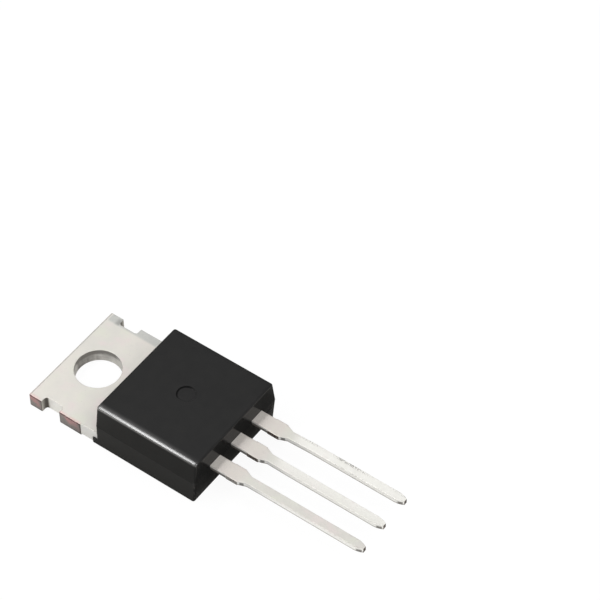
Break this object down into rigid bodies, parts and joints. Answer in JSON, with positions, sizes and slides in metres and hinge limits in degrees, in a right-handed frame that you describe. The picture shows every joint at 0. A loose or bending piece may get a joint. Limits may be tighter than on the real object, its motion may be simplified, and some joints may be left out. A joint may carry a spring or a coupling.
{
  "type": "schottky diode",
  "caption": "Power rectifier package: black moulded body, flat straight leads at one end and a bare metal tab with a mounting hole at the other.",
  "frame": {"origin": "on the axis of the mounting hole, on the mounting face at the back of the tab", "axes": "+X from the tab towards the tips of the leads, +Z away from the mounting face, +Y across the leads"},
  "size_m": [0.0291, 0.01, 0.0043],
  "materials": {
    "mould_epoxy": "moulded black epoxy, satin",
    "tin_plating": "matt tin plating on stamped copper, bare copper where it was cut",
    "silicon": "polished die with aluminium top metal",
    "solder": "reflowed solder",
    "aluminium_wire": "drawn wire"
  },
  "bodies": {
    "root": {"mould_body": "mould_epoxy", "cathode_frame": "tin_plating", "anode_lead_1": "tin_plating", "anode_lead_2": "tin_plating", "schottky_die_1": "silicon", "schottky_die_2": "silicon", "die_solder_1": "solder", "die_solder_2": "solder", "bond_wire_1": "aluminium_wire", "bond_wire_2": "aluminium_wire", "bond_wire_3": "aluminium_wire", "bond_wire_4": "aluminium_wire"}
  },
  "joints": []
}
